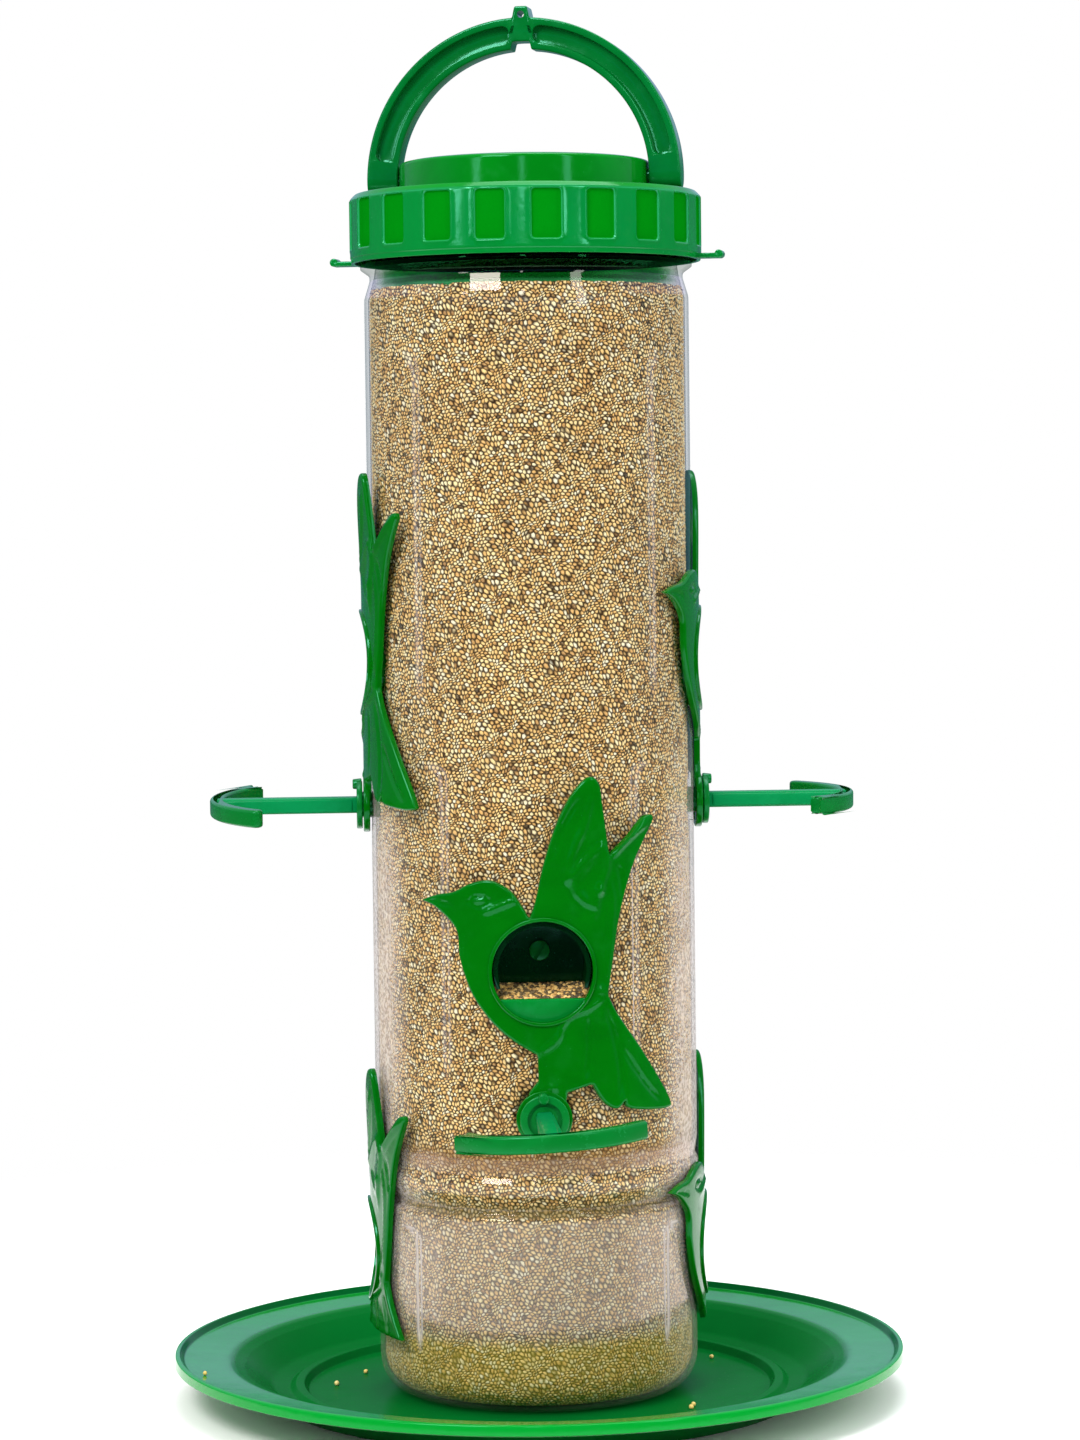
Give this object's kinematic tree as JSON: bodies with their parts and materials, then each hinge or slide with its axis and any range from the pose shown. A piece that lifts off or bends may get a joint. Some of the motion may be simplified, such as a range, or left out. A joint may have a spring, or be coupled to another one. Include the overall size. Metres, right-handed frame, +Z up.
{
  "type": "gravity game feeder",
  "caption": "Hanging gravity seed feeder: clear screw-top jar with bird-shaped feeding ports, T-shaped perches, green lid with folding handle, and a round catching tray.",
  "frame": {"origin": "centre of the tray's flat underside, where the feeder stands", "axes": "+Z up along the jar's axis towards the lid; the front feeding port faces -Y; +X to the right of it"},
  "size_m": [0.2266, 0.2266, 0.4279],
  "materials": {
    "clear": "clear, glossy blow-moulded plastic",
    "green": "glossy injection-moulded plastic",
    "dark_green": "glossy injection-moulded plastic",
    "foam": "closed-cell foam",
    "rubber": "matte",
    "steel": "zinc plated"
  },
  "bodies": {
    "feeder": {"jar": "clear", "tray": "green", "tray_bolt": "steel", "tray_washer": "rubber", "tray_nut": "steel", "port_front": "green", "port_back": "green", "port_left_upper": "green", "port_right_upper": "green", "port_left_lower": "green", "port_right_lower": "green", "hood_front": "dark_green", "hood_back": "dark_green", "hood_left_upper": "dark_green", "hood_right_upper": "dark_green", "hood_left_lower": "dark_green", "hood_right_lower": "dark_green"},
    "seal": {"lid_seal": "foam"},
    "lid": {"lid": "green"},
    "handle": {"handle": "green"},
    "perch_front": {"perch_front": "green"},
    "perch_back": {"perch_back": "green"},
    "perch_left": {"perch_left": "green"},
    "perch_right": {"perch_right": "green"}
  },
  "joints": [
    {"name": "lid_rise", "type": "slide", "parent": "feeder", "child": "seal", "axis": [0, 0, 1], "range_m": [0, 0.009]},
    {"name": "lid_turn", "type": "hinge", "parent": "seal", "child": "lid", "pos_m": [0, 0, 0.36], "axis": [0, 0, 1], "range_deg": [0, 540]},
    {"name": "handle_fold", "type": "hinge", "parent": "lid", "child": "handle", "pos_m": [0, 0, 0.3756], "axis": [0.9703, -0.2419, 0], "range_deg": [-90, 90]},
    {"name": "perch_front_turn", "type": "hinge", "parent": "feeder", "child": "perch_front", "pos_m": [0, -0.05255, 0.093], "axis": [0, -1, 0], "range_deg": [0, 90]},
    {"name": "perch_back_turn", "type": "hinge", "parent": "feeder", "child": "perch_back", "pos_m": [0, 0.05255, 0.093], "axis": [0, 1, 0], "range_deg": [0, 90]},
    {"name": "perch_left_turn", "type": "hinge", "parent": "feeder", "child": "perch_left", "pos_m": [-0.05255, 0, 0.184], "axis": [-1, 0, 0], "range_deg": [0, 90]},
    {"name": "perch_right_turn", "type": "hinge", "parent": "feeder", "child": "perch_right", "pos_m": [0.05255, 0, 0.184], "axis": [1, 0, 0], "range_deg": [0, 90]}
  ],
  "couplings": [
    {"joint": "lid_rise", "follows": "lid_turn", "m_per_rad": 0.00095493}
  ]
}
